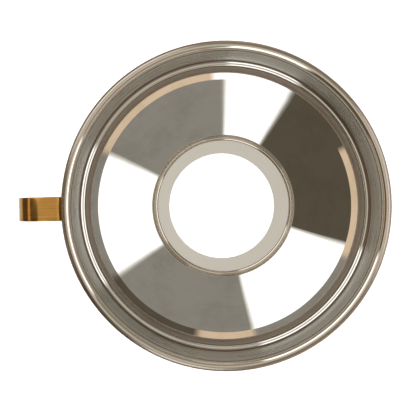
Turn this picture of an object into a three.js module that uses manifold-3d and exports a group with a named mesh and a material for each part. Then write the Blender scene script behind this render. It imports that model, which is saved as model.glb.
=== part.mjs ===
// A pour over dripper: a spun steel bowl with a rolled rim and a wide open outlet, carried on a cup by a
// pressed flange, with a brass finger loop riveted to its side.
//
// Millimetres, +Z up. The finger loop points along -X. The origin lies under the middle of the bounding box,
// in the plane that the outlet's edge stands on, so the bowl's axis is a little way along +X.

import * as THREE from "three";
import Module from "manifold-3d";
import { mergeVertices } from "three/addons/utils/BufferGeometryUtils.js";

const wasm = await Module();
wasm.setup();

// ---- Driving dimensions ------------------------------------------------------------------------------

const RIM_RADIUS = 65; // outside of the rolled rim
const HEIGHT = 73; // outlet edge to the top of the rim
const ROLL = 1.85; // outer radius of the rolled rim's section
const RIM_Z = HEIGHT - ROLL; // centre of the roll, which the bowl's depths are measured from
const SHEET = 0.8; // steel of the bowl and the neck
const GAP = 0.3; // clearance that stands for a touching joint
const SIDES = 48; // facets round the axis

// The bowl's inner face: a side wall, a small step in, a lower wall, a steeper band, then the cone.
// Each of these points is a corner, rounded to its radius.
const WALL_FOOT = { r: 60.55, z: RIM_Z - 14.8, radius: 1.7 };
const STEP_FOOT = { r: 58.35, z: RIM_Z - 15.2, radius: 1 };
const BAND_TOP = { r: 57.8, z: RIM_Z - 24.45, radius: 1.2 };
const CONE_TOP = { r: 55, z: RIM_Z - 27.05, radius: 25 };
const CONE_ANGLE = THREE.MathUtils.degToRad(56); // cone wall from the vertical
const BOWL_CUT = 31.2; // radius of the hole that the neck hangs in
const ROLL_END = -110; // degrees: where the rim stops curling, short of the wall

// The outlet neck: a bead that rests on the cone's end, and a tapered spout with a rolled edge.
const BEAD = { r: 30.9, radius: 1 };
const BEAD_START = 172; // degrees: where the neck's wall runs into the bead
const OUTLET_RADIUS = 26.4;
const EDGE_ROLL = 1.3; // outer radius of the outlet's rolled edge
const EDGE_START = 70; // degrees: where the roll begins, outside the neck
const EDGE_FLAT = 25; // degrees of the roll, each side of its lowest line, that are flat

// The cup flange: a pressed plate with a collar round the neck and an upturned edge.
const FLANGE_SHEET = 1;
const FLANGE_RADIUS = 46;
const SEAT_Z = 18; // underside, which rests on the cup
const COLLAR_HEIGHT = 5; // above the seat
const FLANGE_EDGE = 3; // height of the upturned edge above the seat
const FLANGE_BEND = 1.5;
const VENTS = { count: 3, inner: 35.5, outer: 39.5, sweep: THREE.MathUtils.degToRad(44) };

// The finger loop: brass strip bent into a loop, with one foot on the wall and one on the cone.
const STRAP_WIDTH = 9.6;
const STRAP = 1.6; // strip thickness
const UPPER_FOOT_END = RIM_Z - 12;
const UPPER_BEND = { z: RIM_Z - 6.4, radius: 1.8 };
const CROWN = { r: 73.7, radius: 20.6 }; // the highest line, and the arc from there towards the wall
const WAIST = { r: 84.7, z: RIM_Z - 16.5 }; // the line furthest from the axis
const UNDERSIDE = { r: 73, z: RIM_Z - 28.2 }; // where the round part runs out into the lower arm
const LOWER_BEND = 2.6;
const LOWER_FOOT = 5.4; // length of the foot on the cone

// The rivets: a domed head outside, a shank, and a tail dressed flush inside.
const HEAD = { r: 2.2, height: 1 };
const SHANK_RADIUS = 1.2;
const TAIL = { r: 1.7, height: 0.5 };
const UPPER_RIVET_Z = RIM_Z - 8.8;
const RIVET_SIDES = 16;

const AXIS_X = (WAIST.r + STRAP / 2 - RIM_RADIUS) / 2; // puts the origin in the middle of the length

// ---- Outlines: points are { r, z } in a half plane through the axis --------------------------------------

// Points on an ellipse about a centre, from angle a to angle b in degrees, both ends included.
function ellipse(centre, across, up, a, b, steps) {
  const points = [];
  for (let i = 0; i <= steps; i++) {
    const t = THREE.MathUtils.degToRad(a + ((b - a) * i) / steps);
    points.push({ r: centre.r + across * Math.cos(t), z: centre.z + up * Math.sin(t) });
  }
  return points;
}

const arc = (centre, radius, a, b, steps) => ellipse(centre, radius, radius, a, b, steps);

// The unit direction from one point to another.
function towards(a, b) {
  const length = Math.hypot(b.r - a.r, b.z - a.z);
  return { r: (b.r - a.r) / length, z: (b.z - a.z) / length };
}

const moved = (p, direction, distance) => ({
  r: p.r + direction.r * distance,
  z: p.z + direction.z * distance,
});

// The path with each corner that has a radius rounded to it.
function rounded(path, steps = 3) {
  return path.flatMap((p, i) => {
    if (!p.radius) return [p];
    const back = towards(p, path[i - 1]);
    const on = towards(p, path[i + 1]);
    const half = Math.acos(back.r * on.r + back.z * on.z) / 2;
    const start = moved(p, back, p.radius / Math.tan(half));
    const middle = { r: (back.r + on.r) / 2, z: (back.z + on.z) / 2 };
    const centre = moved(p, towards({ r: 0, z: 0 }, middle), p.radius / Math.sin(half));
    const first = THREE.MathUtils.radToDeg(Math.atan2(start.z - centre.z, start.r - centre.r));
    const turn = 180 - 2 * THREE.MathUtils.radToDeg(half);
    const left = back.r * on.z - back.z * on.r < 0;
    return arc(centre, p.radius, first, first + (left ? turn : -turn), steps);
  });
}

// The path moved sideways by a distance, to the right of its direction, with mitred corners.
function offset(path, distance) {
  const runs = path.slice(1).map((p, i) => towards(path[i], p));
  return path.map((p, i) => {
    const before = runs[Math.max(i - 1, 0)];
    const after = runs[Math.min(i, runs.length - 1)];
    const share = 1 + before.r * after.r + before.z * after.z;
    return {
      r: p.r + ((before.z + after.z) * distance) / share,
      z: p.z - ((before.r + after.r) * distance) / share,
    };
  });
}

// The closed outline of a sheet that lies to the right of the path.
const sheetOutline = (path, thickness) => [...offset(path, thickness), ...[...path].reverse()];

// ---- Solids ----------------------------------------------------------------------------------------------

// A closed outline turned round the Z axis.
function turned(outline, sides = SIDES) {
  const points = [...outline, outline[0]].map((p) => new THREE.Vector2(p.r, p.z));
  return new THREE.LatheGeometry(points, sides).rotateX(Math.PI / 2);
}

function manifoldOf(geometry) {
  const bare = geometry.clone();
  bare.deleteAttribute("normal");
  bare.deleteAttribute("uv");
  const merged = mergeVertices(bare, 1e-3);
  return new wasm.Manifold(
    new wasm.Mesh({
      numProp: 3,
      vertProperties: merged.attributes.position.array,
      triVerts: new Uint32Array(merged.index.array),
    }),
  );
}

function cut(geometry, tools) {
  let body = manifoldOf(geometry);
  for (const tool of tools) body = body.subtract(manifoldOf(tool));
  const mesh = body.getMesh();
  return new THREE.BufferGeometry()
    .setAttribute("position", new THREE.BufferAttribute(mesh.vertProperties, 3))
    .setIndex(new THREE.BufferAttribute(mesh.triVerts, 1));
}

// ---- Faces that neighbouring pieces share ----------------------------------------------------------------

const rollCentre = { r: RIM_RADIUS - ROLL, z: RIM_Z };
const wallTop = { r: rollCentre.r - ROLL, z: RIM_Z }; // where the wall meets the roll
const wallLean = (wallTop.r - WALL_FOOT.r) / (wallTop.z - WALL_FOOT.z);
const wallOuter = (z) => wallTop.r + SHEET - wallLean * (wallTop.z - z);

const coneDown = { r: -Math.sin(CONE_ANGLE), z: -Math.cos(CONE_ANGLE) };
const coneOut = { r: Math.cos(CONE_ANGLE), z: -Math.sin(CONE_ANGLE) };

// The point at radius r on a line that lies a distance outside the cone's inner face.
function onCone(r, out) {
  const top = moved(CONE_TOP, coneOut, out);
  return moved(top, coneDown, (r - top.r) / coneDown.r);
}

const beadCentre = { r: BEAD.r, z: onCone(BEAD.r + BEAD.radius, -GAP).z };
const bead = arc(beadCentre, BEAD.radius, BEAD_START, 0, 8);
const edgeCentre = {
  r: OUTLET_RADIUS + EDGE_ROLL,
  z: EDGE_ROLL * Math.cos(THREE.MathUtils.degToRad(EDGE_FLAT)),
};
const neckLean = (bead[0].r - OUTLET_RADIUS) / (bead[0].z - edgeCentre.z);
const neckOuter = (z) => OUTLET_RADIUS + neckLean * (z - edgeCentre.z) + SHEET * Math.hypot(1, neckLean);

// ---- Bowl, rim wire, neck and flange -----------------------------------------------------------------------

const bowlFace = rounded([
  onCone(BOWL_CUT, 0),
  CONE_TOP,
  BAND_TOP,
  STEP_FOOT,
  WALL_FOOT,
  ...arc(rollCentre, ROLL, 180, ROLL_END, 9),
]);
const wireOutline = arc(rollCentre, ROLL - SHEET - GAP, 0, 315, 7);

const neckFace = [
  ...arc(edgeCentre, EDGE_ROLL, EDGE_START, EDGE_FLAT - 90, 4),
  ...arc(edgeCentre, EDGE_ROLL, -EDGE_FLAT - 90, -180, 2),
  ...bead,
];

const collarRadius = neckOuter(SEAT_Z) + GAP;
const flangeFace = rounded([
  { r: FLANGE_RADIUS, z: SEAT_Z + FLANGE_EDGE },
  { r: FLANGE_RADIUS, z: SEAT_Z, radius: FLANGE_BEND },
  { r: collarRadius, z: SEAT_Z, radius: FLANGE_BEND },
  { r: collarRadius + neckLean * COLLAR_HEIGHT, z: SEAT_Z + COLLAR_HEIGHT },
]);

// A cutter for one of the arc-shaped air vents, with round ends, turned to its place.
function ventTool(turn) {
  const { inner, outer, sweep } = VENTS;
  const middle = (inner + outer) / 2;
  const end = (outer - inner) / 2;
  const [from, to] = [turn - sweep / 2, turn + sweep / 2];
  const shape = new THREE.Shape()
    .absarc(0, 0, outer, from, to, false)
    .absarc(middle * Math.cos(to), middle * Math.sin(to), end, to, to + Math.PI, false)
    .absarc(0, 0, inner, to, from, true)
    .absarc(middle * Math.cos(from), middle * Math.sin(from), end, from + Math.PI, from + 2 * Math.PI, false);
  return new THREE.ExtrudeGeometry(shape, { depth: 4 * FLANGE_SHEET, bevelEnabled: false, curveSegments: 6 })
    .translate(0, 0, SEAT_Z - 2 * FLANGE_SHEET);
}

const ventTools = Array.from({ length: VENTS.count }, (_, i) => ventTool((i * 2 * Math.PI) / VENTS.count));

// ---- Finger loop -------------------------------------------------------------------------------------------

// The strip's centre line stands half its thickness, and the joint's gap, off the face that carries it.
const standOff = GAP + STRAP / 2;

// The strip's centre line: up the wall, over the crown, round, back to the cone and down it.
function loopLine() {
  const bend = { r: wallOuter(UPPER_BEND.z) + standOff + UPPER_BEND.radius, z: UPPER_BEND.z };
  const reach = CROWN.radius - UPPER_BEND.radius;
  const slope = Math.asin((CROWN.r - bend.r) / reach);
  const crown = { r: CROWN.r, z: bend.z - reach * Math.cos(slope) };
  const slopeEnd = 90 + THREE.MathUtils.radToDeg(slope);
  const crownHeight = crown.z + CROWN.radius - WAIST.z;
  const upperCentre = { r: CROWN.r, z: WAIST.z };
  const lowerCentre = { r: UNDERSIDE.r, z: WAIST.z };

  const coneLine = moved(CONE_TOP, coneOut, SHEET + standOff);
  const corner = moved(coneLine, coneDown, (coneLine.z - UNDERSIDE.z) / Math.cos(CONE_ANGLE));
  const setBack = LOWER_BEND * Math.tan((Math.PI / 2 - CONE_ANGLE) / 2);

  return rounded([
    { r: wallOuter(UPPER_FOOT_END) + standOff, z: UPPER_FOOT_END },
    ...arc(bend, UPPER_BEND.radius, 180, slopeEnd, 3),
    ...arc(crown, CROWN.radius, slopeEnd, 90, 3).slice(1),
    ...ellipse(upperCentre, WAIST.r - CROWN.r, crownHeight, 90, 0, 7).slice(1),
    ...ellipse(lowerCentre, WAIST.r - UNDERSIDE.r, WAIST.z - UNDERSIDE.z, 0, -90, 7).slice(1),
    { ...corner, radius: LOWER_BEND },
    moved(corner, coneDown, setBack + LOWER_FOOT),
  ]);
}

// The strip along its centre line, across the plane of the loop.
function strapGeometry(line) {
  const outline = [...offset(line, -STRAP / 2), ...offset(line, STRAP / 2).reverse()];
  const shape = new THREE.Shape(outline.map((p) => new THREE.Vector2(-p.r, p.z)));
  return new THREE.ExtrudeGeometry(shape, { depth: STRAP_WIDTH, bevelEnabled: false })
    .rotateX(Math.PI / 2)
    .translate(0, STRAP_WIDTH / 2, 0);
}

// ---- Rivets ------------------------------------------------------------------------------------------------

const grip = SHEET + GAP + STRAP + GAP; // through the wall and the strip, up to the head

// A rivet along its own Z: the tail's face is at 0 and the head sits on the grip.
function rivetGeometry() {
  return turned(
    [
      { r: 0, z: 0 },
      { r: TAIL.r, z: 0 },
      { r: SHANK_RADIUS, z: TAIL.height },
      { r: SHANK_RADIUS, z: grip },
      ...ellipse({ r: 0, z: grip }, HEAD.r, HEAD.height, 0, 90, 4),
    ],
    RIVET_SIDES,
  );
}

// A cutter along its own Z, as long as a rivet on each side of its middle.
const drill = (radius) =>
  new THREE.CylinderGeometry(radius, radius, 2 * grip, RIVET_SIDES).rotateX(Math.PI / 2);

// Turns a piece made along +Z to point along a direction in the loop's plane, and sets it at a point.
function placed(geometry, { at, along }) {
  const turn = new THREE.Quaternion().setFromUnitVectors(
    new THREE.Vector3(0, 0, 1),
    new THREE.Vector3(-along.r, 0, along.z),
  );
  return geometry.applyQuaternion(turn).translate(-at.r, 0, at.z);
}

const loop = loopLine();
const lowerFootMiddle = moved(loop.at(-2), coneDown, LOWER_FOOT / 2);
const RIVETS = {
  upper_rivet: { at: { r: wallOuter(UPPER_RIVET_Z) - SHEET, z: UPPER_RIVET_Z }, along: { r: 1, z: 0 } },
  lower_rivet: { at: moved(lowerFootMiddle, coneOut, -standOff - SHEET), along: coneOut },
};
const places = Object.values(RIVETS);

// ---- Assembly ----------------------------------------------------------------------------------------------

const steel = (roughness) => new THREE.MeshStandardMaterial({ color: 0xb9b6ae, metalness: 1, roughness });
const brass = new THREE.MeshStandardMaterial({ color: 0xb07a34, metalness: 1, roughness: 0.3 });

const group = new THREE.Group();
group.position.x = AXIS_X;

function add(name, geometry, material) {
  const mesh = new THREE.Mesh(geometry, material);
  mesh.name = name;
  group.add(mesh);
}

const tailHoles = places.map((place) => placed(drill(TAIL.r + GAP), place));
const shankHoles = places.map((place) => placed(drill(SHANK_RADIUS + GAP), place));

add("dripper_bowl", cut(turned(sheetOutline(bowlFace, SHEET)), tailHoles), steel(0.15));
add("rim_wire", turned(wireOutline), steel(0.4));
add("outlet_neck", turned(sheetOutline(neckFace, SHEET)), steel(0.2));
add("cup_flange", cut(turned(sheetOutline(flangeFace, FLANGE_SHEET)), ventTools), steel(0.25));
add("finger_loop", cut(strapGeometry(loop), shankHoles), brass);
for (const [name, place] of Object.entries(RIVETS)) {
  add(name, placed(rivetGeometry(), place), steel(0.2));
}

export default group;
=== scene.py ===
import math

import bmesh
import bpy
from mathutils import Matrix, Vector


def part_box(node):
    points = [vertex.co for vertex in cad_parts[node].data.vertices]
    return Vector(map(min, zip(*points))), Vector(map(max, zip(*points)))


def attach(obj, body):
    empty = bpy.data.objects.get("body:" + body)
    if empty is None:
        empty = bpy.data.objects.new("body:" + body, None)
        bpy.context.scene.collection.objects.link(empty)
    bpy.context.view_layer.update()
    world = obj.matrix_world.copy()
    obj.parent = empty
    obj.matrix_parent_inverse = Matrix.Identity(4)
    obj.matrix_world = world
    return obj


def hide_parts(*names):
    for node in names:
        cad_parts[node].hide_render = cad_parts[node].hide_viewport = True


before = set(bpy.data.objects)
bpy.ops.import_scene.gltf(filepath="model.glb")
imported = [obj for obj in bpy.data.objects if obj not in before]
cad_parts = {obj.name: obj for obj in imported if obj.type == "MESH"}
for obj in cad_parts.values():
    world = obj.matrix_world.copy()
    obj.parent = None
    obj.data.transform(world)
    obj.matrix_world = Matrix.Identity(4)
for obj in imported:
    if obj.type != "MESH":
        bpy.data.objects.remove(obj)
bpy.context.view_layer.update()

# ---- Sizes, in metres ------------------------------------------------------------------------------------
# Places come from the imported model, and thicknesses and radii repeat its own. These differ: the corner at
# CONE_TOP is tighter, the outlet's edge is round all the way, the rivets' tails are shorter and their holes
# aren't cut, and the gaps at the wire, the flange's collar and the strip are smaller.

MM = 0.001
BOWL_LO, BOWL_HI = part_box("dripper_bowl")
AXIS = Vector(((BOWL_LO.x + BOWL_HI.x) / 2, (BOWL_LO.y + BOWL_HI.y) / 2, 0))
TOP = BOWL_HI.z
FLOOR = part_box("outlet_neck")[0].z

SHEET = 0.8 * MM
ROLL = 1.85 * MM
RIM_RADIUS = 65 * MM
RIM_Z = TOP - ROLL

ROUND = 256  # facets round the axis
EDGE = 0.12 * MM  # how close a support ring stands to a bend
SHARP = math.radians(32)  # edges that turn further than this are shaded as sharp


# ---- Outlines: points are (r, z) in a half plane through the axis ----------------------------------------


def ellipse(centre, across, up, a, b, steps):
    """Points on an ellipse, from angle a to angle b in degrees, both ends included."""
    turns = [math.radians(a + (b - a) * i / steps) for i in range(steps + 1)]
    return [Vector((centre[0] + across * math.cos(t), centre[1] + up * math.sin(t))) for t in turns]


def arc(centre, radius, a, b, steps):
    return ellipse(centre, radius, radius, a, b, steps)


def rounded(path, steps=12):
    """The path with each corner, given as (r, z, radius), rounded to its radius."""
    out = []
    for i, p in enumerate(path):
        here = Vector((p[0], p[1]))
        if len(p) < 3:
            out.append(here)
            continue
        back = (Vector(path[i - 1][:2]) - here).normalized()
        on = (Vector(path[i + 1][:2]) - here).normalized()
        half = math.acos(back.dot(on)) / 2
        start = here + back * (p[2] / math.tan(half))
        centre = here + (back + on).normalized() * (p[2] / math.sin(half))
        first = math.degrees(math.atan2(start.y - centre.y, start.x - centre.x))
        turn = 180 - 2 * math.degrees(half)
        side = 1 if back.x * on.y - back.y * on.x < 0 else -1
        out += arc(centre, p[2], first, first + side * turn, steps)
    return out


def offset(path, distance):
    """The path moved to the right of its direction, with mitred corners."""
    runs = [(b - a).normalized() for a, b in zip(path, path[1:])]
    out = []
    for i, p in enumerate(path):
        before = runs[max(i - 1, 0)]
        after = runs[min(i, len(runs) - 1)]
        share = 1 + before.dot(after)
        out.append(p + Vector((before.y + after.y, -before.x - after.x)) * distance / share)
    return out


def supported(path):
    """The path with a point just inside each end of a long straight run, which keeps its shading flat."""
    out = [path[0]]
    for a, b in zip(path, path[1:]):
        run = b - a
        if run.length > 8 * EDGE:
            step = run.normalized() * EDGE
            out += [a + step, b - step]
        out.append(b)
    return out


def sheet_outline(path, thickness, steps=6):
    """The closed outline of a sheet to the right of the path, with rounded raw edges."""
    path = supported(path)
    other = offset(path, thickness)
    radius = thickness / 2
    out = []
    for near, far in ((path, other), (path[::-1], other[::-1])):
        middle = (near[0] + far[0]) / 2
        back = (near[0] - near[1]).normalized()
        across = (far[0] - near[0]).normalized()
        cap = []
        for i in range(1, steps):
            t = math.pi * i / steps
            cap.append(middle - across * radius * math.cos(t) + back * radius * math.sin(t))
        out.append(cap)
    return path[::-1] + out[0] + other + out[1][::-1]


# ---- Mesh helpers ----------------------------------------------------------------------------------------


def piece(name, mesh, node, materials):
    """A new object that stands for a CAD node, which it hides; it rides with the root body and takes its
    finish from a slot.
    """
    obj = bpy.data.objects.new(name, mesh)
    bpy.context.scene.collection.objects.link(obj)
    for material in materials:
        mesh.materials.append(material)
    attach(obj, "root")
    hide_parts(node)
    return obj


def mesh_of(bm, name):
    bmesh.ops.recalc_face_normals(bm, faces=bm.faces)
    for face in bm.faces:
        face.smooth = True
    mesh = bpy.data.meshes.new(name)
    bm.to_mesh(mesh)
    bm.free()
    mesh.set_sharp_from_angle(angle=SHARP)
    return mesh


def lathe(name, outline, zone=lambda p: 0):
    """A closed outline turned round the bowl's axis. zone picks each band's material by its middle."""
    bm = bmesh.new()
    rings = []
    for k in range(ROUND):
        t = 2 * math.pi * k / ROUND
        rings.append([
            bm.verts.new((AXIS.x + p.x * math.cos(t), AXIS.y + p.x * math.sin(t), p.y)) for p in outline
        ])
    count = len(outline)
    for k in range(ROUND):
        here, following = rings[k], rings[(k + 1) % ROUND]
        for i in range(count):
            j = (i + 1) % count
            face = bm.faces.new((here[i], following[i], following[j], here[j]))
            face.material_index = zone((outline[i] + outline[j]) / 2)
    return mesh_of(bm, name)


def apply_cut(obj, cutter):
    """Cuts a closed mesh out of a piece for good."""
    modifier = obj.modifiers.new("cut", "BOOLEAN")
    modifier.operation = "DIFFERENCE"
    modifier.solver = "EXACT"
    modifier.object = cutter
    bpy.context.view_layer.update()
    evaluated = obj.evaluated_get(bpy.context.evaluated_depsgraph_get())
    mesh = bpy.data.meshes.new_from_object(evaluated)
    obj.modifiers.clear()
    old = obj.data
    obj.data = mesh
    bpy.data.meshes.remove(old)
    bpy.data.objects.remove(cutter)
    mesh.set_sharp_from_angle(angle=SHARP)


# ---- Node helpers ----------------------------------------------------------------------------------------


class Nodes:
    """A short way to add nodes to a tree: values go to sockets by name, and sockets are linked."""

    def __init__(self, tree):
        self.tree = tree
        tree.nodes.clear()

    def add(self, kind, settings=None, **inputs):
        node = self.tree.nodes.new("ShaderNode" + kind)
        for key, value in (settings or {}).items():
            setattr(node, key, value)
        for key, value in inputs.items():
            self.set(node, key.replace("_", " "), value)
        return node

    def set(self, node, key, value):
        socket = node.inputs[int(key)] if key.isdigit() else node.inputs[key]
        if isinstance(value, bpy.types.NodeSocket):
            self.tree.links.new(value, socket)
        else:
            socket.default_value = value

    def math(self, operation, a, b=0.0):
        node = self.tree.nodes.new("ShaderNodeMath")
        node.operation = operation
        self.set(node, "0", a)
        self.set(node, "1", b)
        return node.outputs[0]

    def smooth(self, value, low, high, to_low=0.0, to_high=1.0):
        node = self.tree.nodes.new("ShaderNodeMapRange")
        node.interpolation_type = "SMOOTHSTEP"
        names = ("Value", "From Min", "From Max", "To Min", "To Max")
        for key, v in zip(names, (value, low, high, to_low, to_high)):
            self.set(node, key, v)
        return node.outputs["Result"]

    def mix(self, factor, a, b):
        node = self.tree.nodes.new("ShaderNodeMix")
        node.data_type = "RGBA"
        self.set(node, "Factor", factor)
        for socket, value in ((node.inputs[6], a), (node.inputs[7], b)):
            if isinstance(value, bpy.types.NodeSocket):
                self.tree.links.new(value, socket)
            else:
                socket.default_value = (*value, 1)
        return node.outputs[2]

    def ramp(self, factor, stops):
        node = self.tree.nodes.new("ShaderNodeValToRGB")
        elements = node.color_ramp.elements
        while len(elements) < len(stops):
            elements.new(0.5)
        for element, (position, colour) in zip(elements, stops):
            element.position = position
            element.color = (*colour, 1)
        self.set(node, "Fac", factor)
        return node.outputs["Color"]


def new_material(name):
    material = bpy.data.materials.new(name)
    material.use_nodes = True
    return material, Nodes(material.node_tree)


def turned_coordinates(n):
    """Distance from the bowl's axis, height, and two slow coordinates that change round the axis."""
    position = n.add("TexCoord").outputs["Object"]
    centred = n.add("VectorMath", {"operation": "SUBTRACT"})
    n.set(centred, "0", position)
    centred.inputs[1].default_value = AXIS
    split = n.add("SeparateXYZ", Vector=centred.outputs[0])
    flat = n.add("CombineXYZ", X=split.outputs["X"], Y=split.outputs["Y"])
    length = n.add("VectorMath", {"operation": "LENGTH"})
    n.set(length, "0", flat.outputs[0])
    radius = length.outputs["Value"]
    round_x = n.math("DIVIDE", split.outputs["X"], radius)
    round_y = n.math("DIVIDE", split.outputs["Y"], radius)
    return radius, split.outputs["Z"], round_x, round_y


def noise(n, vector, scale=1.0, detail=2.0, roughness=0.5):
    node = n.add("TexNoise", Vector=vector, Scale=scale, Detail=detail, Roughness=roughness)
    return node.outputs["Fac"]


# Rough numbers of each to a metre of steel: turning marks, hazy patches, smudges and slow waves.
MARKS = 5200.0
HAZE = 45.0
SMUDGES = 70.0
WAVES = 28.0
WIDE_MARKS = 0.12  # broad bands for each turning mark
HIGHLIGHT_TURN = 0.25  # of a full turn, which lays the stretched highlight across the marks


def spun_steel(name, colour, roughness, anisotropy, groove, streak, spread=0.0, wave=0.0, smudge=0.0):
    """Steel turned or brushed round the axis.

    groove is the depth of the marks in metres, streak how far their brightness varies and spread how far
    the gloss does. wave is the depth of slow unevenness in metres, and smudge the darkness of handling
    marks."""
    material, n = new_material(name)
    radius, height, round_x, round_y = turned_coordinates(n)
    across = n.math("MULTIPLY", radius, MARKS)
    up = n.math("MULTIPLY", height, MARKS)
    fine = n.add("CombineXYZ", X=across, Y=up, Z=n.math("MULTIPLY", round_x, 1.5))
    marks = noise(n, fine.outputs[0], 1.0, 3.0, 0.6)
    wide_across = n.math("MULTIPLY", across, WIDE_MARKS)
    wide_up = n.math("MULTIPLY", up, WIDE_MARKS)
    wide = n.add("CombineXYZ", X=wide_across, Y=wide_up, Z=round_y)
    bands = noise(n, wide.outputs[0], 1.0, 2.0, 0.5)
    hazy = noise(n, n.add("TexCoord").outputs["Object"], HAZE, 3.0, 0.6)

    tone = n.math("ADD", n.math("MULTIPLY", marks, 0.4), n.math("MULTIPLY", bands, 0.6))
    dark = tuple(c * (1 - streak) for c in colour)
    shade = n.mix(n.smooth(tone, 0.32, 0.68), dark, colour)
    worn = n.math("ADD", hazy, n.math("MULTIPLY", bands, 0.6))
    gloss = n.smooth(worn, 0.55, 1.1, roughness, roughness + spread)
    if smudge:
        blot = noise(n, n.add("TexCoord").outputs["Object"], SMUDGES, 5.0, 0.62)
        shade = n.mix(n.smooth(blot, 0.42, 0.72, 0.0, smudge), shade, tuple(c * 0.35 for c in colour))

    bump = n.add("Bump", Strength=1.0, Distance=groove, Height=marks)
    if wave:
        slow = noise(n, n.add("TexCoord").outputs["Object"], WAVES, 1.0, 0.4)
        swell = n.add("Bump", Strength=1.0, Distance=wave, Height=slow)
        n.set(bump, "Normal", swell.outputs[0])
    tangent = n.add("Tangent", {"direction_type": "RADIAL", "axis": "Z"})
    shader = n.add("BsdfPrincipled", Roughness=gloss)
    shader.inputs["Metallic"].default_value = 1.0
    shader.inputs["Anisotropic"].default_value = anisotropy
    shader.inputs["Anisotropic Rotation"].default_value = HIGHLIGHT_TURN
    n.set(shader, "Base Color", shade)
    n.set(shader, "Normal", bump.outputs[0])
    n.set(shader, "Tangent", tangent.outputs[0])
    n.set(n.add("OutputMaterial"), "Surface", shader.outputs[0])
    return material


# ---- Bowl ------------------------------------------------------------------------------------------------

# Corners of the inner face, as (r, z, radius), from the side wall down to the cone.
WALL_FOOT = (60.55 * MM, RIM_Z - 14.8 * MM, 1.7 * MM)
STEP_FOOT = (58.35 * MM, RIM_Z - 15.2 * MM, 1.0 * MM)
BAND_TOP = (57.8 * MM, RIM_Z - 24.45 * MM, 1.2 * MM)
CONE_TOP = (55 * MM, RIM_Z - 27.05 * MM, 12 * MM)
CONE_ANGLE = math.radians(56)  # from the vertical
CONE_DOWN = Vector((-math.sin(CONE_ANGLE), -math.cos(CONE_ANGLE)))
CONE_OUT = Vector((math.cos(CONE_ANGLE), -math.sin(CONE_ANGLE)))
BOWL_CUT = 31.2 * MM  # radius of the hole that the neck hangs in
ROLL_CENTRE = Vector((RIM_RADIUS - ROLL, RIM_Z))
ROLL_END = -110  # degrees: where the rim stops curling


def on_cone(r, out):
    """The point at radius r on a line that lies a distance outside the cone's inner face."""
    top = Vector(CONE_TOP[:2]) + CONE_OUT * out
    return top + CONE_DOWN * ((r - top.x) / CONE_DOWN.x)


CONE_STEEL = spun_steel(
    "polished_steel", (0.74, 0.73, 0.70), roughness=0.015, anisotropy=0.0,
    groove=0.03e-6, streak=0.04, spread=0.01, wave=8e-5, smudge=0.2,
)
WALL_STEEL = spun_steel(
    "brushed_steel", (0.80, 0.785, 0.74), roughness=0.26, anisotropy=0.8,
    groove=3.0e-6, streak=0.4, spread=0.08,
)
BEAD_STEEL = spun_steel(
    "bead_steel", (0.76, 0.72, 0.66), roughness=0.07, anisotropy=0.5,
    groove=0.5e-6, streak=0.1, spread=0.03,
)
# The roll's outer half is painted darker and browner than its inner half: a painted reflection of the dark
# room beside it.
OUTER_ROLL_PAINTED_REFLECTION_STEEL = spun_steel(
    "outer_roll_painted_reflection_steel", (0.50, 0.43, 0.37), roughness=0.24, anisotropy=0.6,
    groove=1.5e-6, streak=0.3, spread=0.08,
)
RISER_STEEL = spun_steel(
    "riser_steel", (0.66, 0.58, 0.51), roughness=0.30, anisotropy=0.8,
    groove=0.2e-6, streak=0.2, spread=0.05,
)
# Dark steel for the creases: painted shade, deeper than the lighting gives there, with some grime.
CREASE_GRIME_AND_SHADE_STEEL = spun_steel(
    "grime_and_painted_shade_steel", (0.26, 0.20, 0.16), roughness=0.3, anisotropy=0.5,
    groove=1.0e-6, streak=0.3, spread=0.1,
)

BOWL_STEELS = [CONE_STEEL, WALL_STEEL, BEAD_STEEL, OUTER_ROLL_PAINTED_REFLECTION_STEEL, RISER_STEEL, CREASE_GRIME_AND_SHADE_STEEL]
ON_CONE, ON_WALL, IN_ROLL, OUT_ROLL, ON_RISER, IN_CREASE = range(len(BOWL_STEELS))
# Heights between which the creases at the step, at the wall's foot and under the rim are darkened: painted
# shade, with some grime.
CREASES = (
    (STEP_FOOT[1] - 1.2 * MM, STEP_FOOT[1] - 0.35 * MM),
    (WALL_FOOT[1] + 0.1 * MM, WALL_FOOT[1] + 0.9 * MM),
    (RIM_Z - 1.0 * MM, RIM_Z - 0.1 * MM),
)


def bowl_zone(p):
    """Which of BOWL_STEELS a band of the bowl is made of, by the middle of its outline."""
    if p.y > CREASES[2][1]:
        # The outer half of the roll takes the steel with the painted dark reflection.
        return IN_ROLL if p.x < ROLL_CENTRE.x else OUT_ROLL
    if any(low < p.y < high for low, high in CREASES):
        return IN_CREASE
    if p.y > WALL_FOOT[1] + 1.0 * MM:
        return ON_WALL
    return ON_RISER if BAND_TOP[1] - 0.3 * MM < p.y < STEP_FOOT[1] - 0.3 * MM else ON_CONE


def between(a, b, height):
    """The point at a height on the line from a to b."""
    share = (height - a[1]) / (b[1] - a[1])
    return a[0] + (b[0] - a[0]) * share, height


def make_bowl():
    wall_top = ROLL_CENTRE - Vector((ROLL, 0))
    path = rounded([
        on_cone(BOWL_CUT, 0),
        CONE_TOP,
        BAND_TOP,
        between(BAND_TOP, STEP_FOOT, CREASES[0][0]),
        STEP_FOOT,
        WALL_FOOT,
        between(WALL_FOOT, wall_top, CREASES[2][0]),
        between(WALL_FOOT, wall_top, CREASES[2][1]),
        wall_top,
    ])
    path = path[:-1] + arc(ROLL_CENTRE, ROLL, 180, ROLL_END, 40)
    mesh = lathe("dripper_bowl_fine", sheet_outline(path, SHEET), bowl_zone)
    piece("bowl", mesh, "dripper_bowl", BOWL_STEELS)


WIRE_GAP = 0.1 * MM
WIRE_STEEL = spun_steel(
    "wire_steel", (0.5, 0.48, 0.45), roughness=0.4, anisotropy=0.3,
    groove=1.0e-6, streak=0.15, spread=0.1,
)


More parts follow.
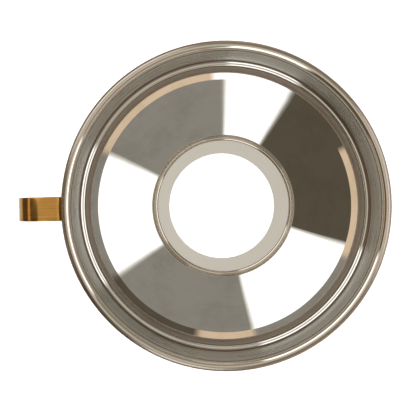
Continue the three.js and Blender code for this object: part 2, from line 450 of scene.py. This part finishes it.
def make_wire():
    outline = arc(ROLL_CENTRE, ROLL - SHEET - WIRE_GAP, 0, 345, 23)
    piece("wire", lathe("rim_wire_fine", outline), "rim_wire", [WIRE_STEEL])


# ---- Neck ------------------------------------------------------------------------------------------------

BEAD_R = 30.9 * MM
BEAD = 1.0 * MM
BEAD_START = 172  # degrees: where the neck's wall runs into the bead
BEAD_LIFT = -0.3 * MM  # the bead's edge stands this far inside the cone's face
OUTLET_RADIUS = 26.4 * MM
EDGE_ROLL = 1.3 * MM
BEAD_CENTRE = Vector((BEAD_R, on_cone(BEAD_R + BEAD, BEAD_LIFT).y))
NECK_STEEL = spun_steel(
    "neck_steel", (0.76, 0.74, 0.70), roughness=0.12, anisotropy=0.7,
    groove=1.0e-6, streak=0.08, spread=0.05,
)
LIP_STEEL = spun_steel(
    "lip_steel", (0.66, 0.60, 0.54), roughness=0.06, anisotropy=0.0,
    groove=0.05e-6, streak=0.08, spread=0.03,
)


def neck_line():
    """The neck's wall line: its foot, and where it runs into the bead."""
    foot = Vector((OUTLET_RADIUS, FLOOR + EDGE_ROLL))
    head = arc(BEAD_CENTRE, BEAD, BEAD_START, 0, 1)[0]
    return foot, head


def make_neck():
    foot, _ = neck_line()
    centre = foot + Vector((EDGE_ROLL, 0))
    path = arc(centre, EDGE_ROLL, 70, -180, 24) + arc(BEAD_CENTRE, BEAD, BEAD_START, 0, 20)
    mesh = lathe("outlet_neck_fine", sheet_outline(path, SHEET), lambda p: int(p.y > BEAD_CENTRE.y))
    piece("neck", mesh, "outlet_neck", [NECK_STEEL, LIP_STEEL])


# ---- Flange ----------------------------------------------------------------------------------------------

FLANGE_SHEET = 1.0 * MM
COLLAR_GAP = 0.12 * MM
FLANGE_LO, FLANGE_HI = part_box("cup_flange")
FLANGE_RADIUS = (FLANGE_HI.x - FLANGE_LO.x) / 2
SEAT_Z = FLANGE_LO.z
COLLAR_TOP = FLANGE_HI.z
FLANGE_EDGE = 3 * MM
FLANGE_BEND = 1.5 * MM
VENTS = 3
VENT_INNER = 35.5 * MM
VENT_OUTER = 39.5 * MM
VENT_SWEEP = 44  # degrees, between the middles of its round ends
FLANGE_STEEL = spun_steel(
    "flange_steel", (0.66, 0.64, 0.61), roughness=0.3, anisotropy=0.7,
    groove=2.0e-6, streak=0.2, spread=0.1,
)


def vent_cutter(turn):
    """A closed block with the outline of one vent."""
    middle = (VENT_INNER + VENT_OUTER) / 2
    end = (VENT_OUTER - VENT_INNER) / 2
    half = VENT_SWEEP / 2
    outline = arc((0, 0), VENT_OUTER, turn - half, turn + half, 24)
    for side, start in ((1, 0), (-1, 180)):
        at = math.radians(turn + side * half)
        centre = Vector((math.cos(at), math.sin(at))) * middle
        first = turn + side * half + start
        outline += arc(centre, end, first, first + 180, 12)[1:-1]
        if side == 1:
            outline += arc((0, 0), VENT_INNER, turn + half, turn - half, 24)
    bm = bmesh.new()
    base = [bm.verts.new((AXIS.x + p.x, AXIS.y + p.y, SEAT_Z - FLANGE_SHEET)) for p in outline]
    bottom = bm.faces.new(base)
    raised = bmesh.ops.extrude_face_region(bm, geom=[bottom])
    verts = [v for v in raised["geom"] if isinstance(v, bmesh.types.BMVert)]
    bmesh.ops.translate(bm, verts=verts, vec=(0, 0, 3 * FLANGE_SHEET))
    obj = bpy.data.objects.new("vent_cutter", mesh_of(bm, "vent_cutter"))
    bpy.context.scene.collection.objects.link(obj)
    return obj


def make_flange():
    foot, head = neck_line()
    lean = (head.x - foot.x) / (head.y - foot.y)
    outer = foot.x + lean * (SEAT_Z - foot.y) + SHEET * math.hypot(1, lean)
    collar = outer + COLLAR_GAP
    path = rounded([
        (FLANGE_RADIUS, SEAT_Z + FLANGE_EDGE),
        (FLANGE_RADIUS, SEAT_Z, FLANGE_BEND),
        (collar, SEAT_Z, FLANGE_BEND),
        (collar + lean * (COLLAR_TOP - SEAT_Z), COLLAR_TOP),
    ])
    mesh = lathe("cup_flange_fine", sheet_outline(path, FLANGE_SHEET))
    flange = piece("flange", mesh, "cup_flange", [FLANGE_STEEL])
    for i in range(VENTS):
        apply_cut(flange, vent_cutter(360 * i / VENTS))


# ---- Finger loop -----------------------------------------------------------------------------------------

LOOP_LO, LOOP_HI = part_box("finger_loop")
STRAP_WIDTH = LOOP_HI.y - LOOP_LO.y
STRAP = 1.6 * MM
STRAP_GAP = 0.05 * MM
STAND_OFF = STRAP / 2 + STRAP_GAP
UPPER_FOOT_END = RIM_Z - 12 * MM
UPPER_BEND_Z = RIM_Z - 6.4 * MM
UPPER_BEND = 1.8 * MM
CROWN_R = 73.7 * MM
CROWN_RADIUS = 20.6 * MM
WAIST = Vector((AXIS.x - LOOP_LO.x - STRAP / 2, RIM_Z - 16.5 * MM))
UNDERSIDE = Vector((73 * MM, RIM_Z - 28.2 * MM))
LOWER_BEND = 2.6 * MM
LOWER_FOOT = 5.4 * MM
WALL_LEAN = (ROLL_CENTRE.x - ROLL - WALL_FOOT[0]) / (RIM_Z - WALL_FOOT[1])


def wall_outer(z):
    """The radius of the side wall's outer face at a height."""
    return ROLL_CENTRE.x - ROLL + SHEET - WALL_LEAN * (RIM_Z - z)


def loop_line():
    """The strip's centre line: up the wall, over the crown, round, back to the cone and down it."""
    bend = Vector((wall_outer(UPPER_BEND_Z) + STAND_OFF + UPPER_BEND, UPPER_BEND_Z))
    reach = CROWN_RADIUS - UPPER_BEND
    slope = math.asin((CROWN_R - bend.x) / reach)
    crown = Vector((CROWN_R, bend.y - reach * math.cos(slope)))
    slope_end = 90 + math.degrees(slope)
    crown_height = crown.y + CROWN_RADIUS - WAIST.y
    below = WAIST.y - UNDERSIDE.y

    cone_line = Vector(CONE_TOP[:2]) + CONE_OUT * (SHEET + STAND_OFF)
    corner = cone_line + CONE_DOWN * ((cone_line.y - UNDERSIDE.y) / math.cos(CONE_ANGLE))
    set_back = LOWER_BEND * math.tan((math.pi / 2 - CONE_ANGLE) / 2)
    end = corner + CONE_DOWN * (set_back + LOWER_FOOT)
    return rounded([
        Vector((wall_outer(UPPER_FOOT_END) + STAND_OFF, UPPER_FOOT_END)),
        *arc(bend, UPPER_BEND, 180, slope_end, 12),
        *arc(crown, CROWN_RADIUS, slope_end, 90, 14)[1:],
        *ellipse((CROWN_R, WAIST.y), WAIST.x - CROWN_R, crown_height, 90, 0, 28)[1:],
        *ellipse((UNDERSIDE.x, WAIST.y), WAIST.x - UNDERSIDE.x, below, 0, -90, 28)[1:],
        (*corner, LOWER_BEND),
        end,
    ])


def resampled(path, step):
    """The path with points added along its long straight runs."""
    out = [path[0]]
    for a, b in zip(path, path[1:]):
        count = max(1, round((b - a).length / step))
        out += [a.lerp(b, (i + 1) / count) for i in range(count)]
    return out


CORNER = 0.3 * MM  # rounding along the strip's edges
END_CORNER = 2.4 * MM  # rounding of the strip's ends, seen flat on


def strap_section(half_width):
    """The strip's section, as (across, thick) with rounded corners, anticlockwise."""
    half = STRAP / 2
    corners = (
        (half_width, half, 0),
        (-half_width, half, 90),
        (-half_width, -half, 180),
        (half_width, -half, 270),
    )
    out = []
    for y, t, turn in corners:
        centre = (y - math.copysign(CORNER, y), t - math.copysign(CORNER, t))
        out += arc(centre, CORNER, turn, turn + 90, 5)
    return out


def make_loop():
    line = resampled(loop_line(), 0.4 * MM)
    lengths = [0.0]
    for a, b in zip(line, line[1:]):
        lengths.append(lengths[-1] + (b - a).length)
    total = lengths[-1]
    bm = bmesh.new()
    layer = bm.loops.layers.uv.new("strip")
    rings = []
    for i, p in enumerate(line):
        ahead = line[min(i + 1, len(line) - 1)] - line[max(i - 1, 0)]
        across = Vector((ahead.y, -ahead.x)).normalized()
        s = min(lengths[i], total - lengths[i])
        short = END_CORNER - math.sqrt(max(0, END_CORNER**2 - max(0, END_CORNER - s - CORNER) ** 2))
        ring = []
        for y, t in strap_section(STRAP_WIDTH / 2 - short):
            q = p - across * t
            ring.append(bm.verts.new((AXIS.x - q.x, AXIS.y + y, q.y)))
        rings.append(ring)
    count = len(rings[0])
    for i in range(len(rings) - 1):
        for j in range(count):
            k = (j + 1) % count
            face = bm.faces.new((rings[i][j], rings[i][k], rings[i + 1][k], rings[i + 1][j]))
            for loop, s in zip(face.loops, (lengths[i], lengths[i], lengths[i + 1], lengths[i + 1])):
                loop[layer].uv = (s, loop.vert.co.y)
    bm.faces.new(rings[0])
    bm.faces.new(rings[-1])
    piece("loop", mesh_of(bm, "finger_loop_fine"), "finger_loop", [BRASS])


def aged_brass():
    """Brass strip brushed along its length, a little browned."""
    material, n = new_material("aged_brass")
    strip = n.add("UVMap", {"uv_map": "strip"}).outputs[0]
    split = n.add("SeparateXYZ", Vector=strip)
    along = n.math("MULTIPLY", split.outputs["X"], 60.0)
    across = n.math("MULTIPLY", split.outputs["Y"], 9000.0)
    brushed = noise(n, n.add("CombineXYZ", X=along, Y=across).outputs[0], 1.0, 3.0, 0.65)
    broad = n.add("CombineXYZ", X=n.math("MULTIPLY", along, 0.5), Y=n.math("MULTIPLY", across, 0.15))
    streaks = noise(n, broad.outputs[0], 1.0, 2.0, 0.5)
    patina = noise(n, n.add("TexCoord").outputs["Object"], 160.0, 4.0, 0.6)

    tone = n.math("ADD", n.math("MULTIPLY", brushed, 0.6), n.math("MULTIPLY", streaks, 0.4))
    metal = n.mix(n.smooth(tone, 0.3, 0.7), (0.50, 0.26, 0.06), (0.76, 0.43, 0.13))
    shade = n.mix(n.smooth(patina, 0.5, 0.75, 0.0, 0.35), metal, (0.34, 0.17, 0.05))
    gloss = n.smooth(n.math("ADD", patina, n.math("MULTIPLY", streaks, 0.5)), 0.5, 1.0, 0.14, 0.24)
    bump = n.add("Bump", Strength=1.0, Distance=2.0e-6, Height=brushed)
    tangent = n.add("Tangent", {"direction_type": "UV_MAP", "uv_map": "strip"})
    shader = n.add("BsdfPrincipled", Roughness=gloss)
    shader.inputs["Metallic"].default_value = 1.0
    shader.inputs["Anisotropic"].default_value = 0.7
    shader.inputs["Anisotropic Rotation"].default_value = HIGHLIGHT_TURN
    n.set(shader, "Base Color", shade)
    n.set(shader, "Normal", bump.outputs[0])
    n.set(shader, "Tangent", tangent.outputs[0])
    n.set(n.add("OutputMaterial"), "Surface", shader.outputs[0])
    return material


BRASS = aged_brass()


# ---- Rivets ----------------------------------------------------------------------------------------------

HEAD_RADIUS = 2.2 * MM
HEAD_HEIGHT = 1.0 * MM
TAIL_RADIUS = 1.7 * MM
SHANK_RADIUS = 1.2 * MM
TAIL_PROUD = 0.004 * MM  # how far the tail's face stands inside the sheet's inner face
UPPER_RIVET_Z = RIM_Z - 8.8 * MM
RIVET_SIDES = 48


def rivet_steel():
    """Plain steel with a fine grain all over."""
    material, n = new_material("rivet_steel")
    position = n.add("TexCoord").outputs["Object"]
    grain = noise(n, position, 900.0, 4.0, 0.6)
    shade = n.mix(n.smooth(grain, 0.35, 0.7), (0.56, 0.53, 0.49), (0.70, 0.68, 0.64))
    gloss = n.smooth(grain, 0.3, 0.7, 0.16, 0.3)
    bump = n.add("Bump", Strength=1.0, Distance=4.0e-6, Height=grain)
    shader = n.add("BsdfPrincipled", Roughness=gloss)
    shader.inputs["Metallic"].default_value = 1.0
    n.set(shader, "Base Color", shade)
    n.set(shader, "Normal", bump.outputs[0])
    n.set(n.add("OutputMaterial"), "Surface", shader.outputs[0])
    return material


RIVET_STEEL = rivet_steel()


def make_rivet(name, node, at, along, tail_steel):
    """A rivet from its tail's face at a point on the inner face, along the way out."""
    grip = SHEET + STRAP_GAP + STRAP + STRAP_GAP
    profile = [
        Vector((0.001 * MM, -TAIL_PROUD)),
        Vector((TAIL_RADIUS, -TAIL_PROUD)),
        Vector((SHANK_RADIUS, 0.3 * MM)),
        Vector((SHANK_RADIUS, grip)),
        *ellipse((0, grip), HEAD_RADIUS, HEAD_HEIGHT, 0, 89.9, 16),
    ]
    bm = bmesh.new()
    rings = []
    for k in range(RIVET_SIDES):
        t = 2 * math.pi * k / RIVET_SIDES
        rings.append([bm.verts.new((p.x * math.cos(t), p.x * math.sin(t), p.y)) for p in profile])
    for k in range(RIVET_SIDES):
        here, following = rings[k], rings[(k + 1) % RIVET_SIDES]
        for i in range(len(profile) - 1):
            face = bm.faces.new((here[i], following[i], following[i + 1], here[i + 1]))
            face.material_index = 1 if i == 0 else 0
    bm.faces.new([ring[0] for ring in rings])
    bm.faces.new([ring[-1] for ring in rings])
    direction = Vector((-along.x, 0, along.y))
    turn = Vector((0, 0, 1)).rotation_difference(direction).to_matrix().to_4x4()
    bm.transform(Matrix.Translation((AXIS.x - at.x, AXIS.y, at.y)) @ turn)
    piece(name, mesh_of(bm, node + "_fine"), node, [RIVET_STEEL, tail_steel])


def make_rivets():
    on_wall = Vector((wall_outer(UPPER_RIVET_Z) - SHEET, UPPER_RIVET_Z))
    make_rivet("rivet_on_wall", "upper_rivet", on_wall, Vector((1, 0)), WALL_STEEL)
    foot = loop_line()[-2]
    in_cone = foot + CONE_DOWN * (LOWER_FOOT / 2) - CONE_OUT * (STAND_OFF + SHEET)
    make_rivet("rivet_on_cone", "lower_rivet", in_cone, CONE_OUT, CONE_STEEL)


make_bowl()
make_wire()
make_neck()
make_flange()
make_loop()
make_rivets()

# ---- Floor, sky and light --------------------------------------------------------------------------------

# The strip points a little below the view's left, so the view and the light are turned with it.
VIEW_TURN = -1.07  # degrees
PALE = (1.05, 1.05, 1.05)  # what the camera sees past the floor
PANEL_EDGE = 3  # degrees over which one panel gives way to the next

LIGHT = (1.8, 1.77, 1.73)
GREY = (0.33, 0.31, 0.27)
DARK = (0.12, 0.10, 0.07)
WARM = (0.90, 0.68, 0.48)
TAN = (0.70, 0.60, 0.50)
CEILING = (0.66, 0.60, 0.50)
TABLE = (0.70, 0.66, 0.58)

# A plain studio: three soft lights round a grey room with one dark side, over a warm horizon and a pale
# table. Each band begins at an angle off the zenith, and fades in over the second angle. Its panels follow
# one another round the bearing: where each begins, and its tone.
BANDS = [
    (0, 0, [(0, CEILING)]),
    (25, 4, [(0, LIGHT), (30, GREY), (100, LIGHT), (160, DARK), (240, LIGHT), (270, GREY), (335, LIGHT)]),
    (66, 2, [
        (0, GREY), (30, DARK), (75, WARM), (100, GREY), (155, WARM), (205, DARK), (240, LIGHT), (275, WARM),
        (335, GREY),
    ]),
    (77, 3, [(0, TAN), (90, DARK), (280, TAN)]),
    (113, 4, [(0, TABLE)]),
]


def panel_ramp(n, turns, panels):
    """A ramp round the bearing that holds each panel's tone and joins them over a short edge."""
    stops = []
    for i, (start, tone) in enumerate(panels):
        end = panels[i + 1][0] if i + 1 < len(panels) else 360
        stops += [((start + (PANEL_EDGE if start else 0)) / 360, tone), (end / 360, tone)]
    return n.ramp(turns, stops)


def make_sky():
    world = bpy.data.worlds.new("studio")
    bpy.context.scene.world = world
    world.use_nodes = True
    n = Nodes(world.node_tree)
    split = n.add("SeparateXYZ", Vector=n.add("TexCoord").outputs["Generated"])
    bearing = n.math("ARCTAN2", split.outputs["Y"], split.outputs["X"])
    turns = n.math("FRACT", n.math("ADD", n.math("DIVIDE", bearing, 2 * math.pi), 1 - VIEW_TURN / 360))
    tilt = n.math("DEGREES", n.math("ARCCOSINE", split.outputs["Z"]))
    lit = panel_ramp(n, turns, BANDS[0][2])
    for start, fade, panels in BANDS[1:]:
        lit = n.mix(n.smooth(tilt, start, start + fade), lit, panel_ramp(n, turns, panels))
    seen = n.add("LightPath").outputs["Is Camera Ray"]
    background = n.add("Background", Strength=1.0)
    n.set(background, "Color", n.mix(seen, lit, PALE))
    n.set(n.add("OutputWorld"), "Surface", background.outputs[0])


FLOOR_RADIUS = 1.5
FLOOR_GREY = (0.85, 0.85, 0.85, 1)


def make_floor():
    """A pale disc, left out of the steel's reflections."""
    mesh = bpy.data.meshes.new("floor")
    bm = bmesh.new()
    bmesh.ops.create_circle(bm, cap_ends=True, segments=96, radius=FLOOR_RADIUS)
    bm.to_mesh(mesh)
    bm.free()
    floor = bpy.data.objects.new("floor", mesh)
    floor.location = (AXIS.x, AXIS.y, FLOOR)
    floor.visible_glossy = False
    bpy.context.scene.collection.objects.link(floor)
    material, n = new_material("pale_floor")
    shader = n.add("BsdfPrincipled")
    shader.inputs["Base Color"].default_value = FLOOR_GREY
    shader.inputs["Roughness"].default_value = 0.9
    shader.inputs["Specular IOR Level"].default_value = 0.1
    n.set(n.add("OutputMaterial"), "Surface", shader.outputs[0])
    mesh.materials.append(material)


SUN_STRENGTH = 3.6
SUN_WIDTH = math.radians(12)


def make_light():
    """A broad light from straight above. It is left out of reflections, so what it lights is the floor."""
    light = bpy.data.lights.new("overhead", "SUN")
    light.energy = SUN_STRENGTH
    light.angle = SUN_WIDTH
    obj = bpy.data.objects.new("overhead", light)
    obj.visible_glossy = False
    bpy.context.scene.collection.objects.link(obj)


CAMERA_HEIGHT = 250 * MM  # above the middle of the rolled rim
CAMERA_SIDE = Vector((-8.4 * MM, 0.35 * MM, 0))  # off the bowl's axis, along the picture
LENS = 55.05  # millimetres, on a sensor of this width
SENSOR = 36
SHIFT = 0.0072


def make_camera():
    camera = bpy.data.cameras.new("camera")
    camera.lens = LENS
    camera.sensor_width = SENSOR
    camera.shift_x = SHIFT
    camera.shift_y = -SHIFT
    obj = bpy.data.objects.new("camera", camera)
    turn = Matrix.Rotation(math.radians(VIEW_TURN), 3, "Z")
    obj.location = AXIS + turn @ CAMERA_SIDE + Vector((0, 0, RIM_Z + CAMERA_HEIGHT))
    obj.rotation_euler = (0, 0, math.radians(VIEW_TURN))
    bpy.context.scene.collection.objects.link(obj)
    bpy.context.scene.camera = obj


make_sky()
make_floor()
make_light()
make_camera()
bpy.context.scene.view_settings.view_transform = "Standard"
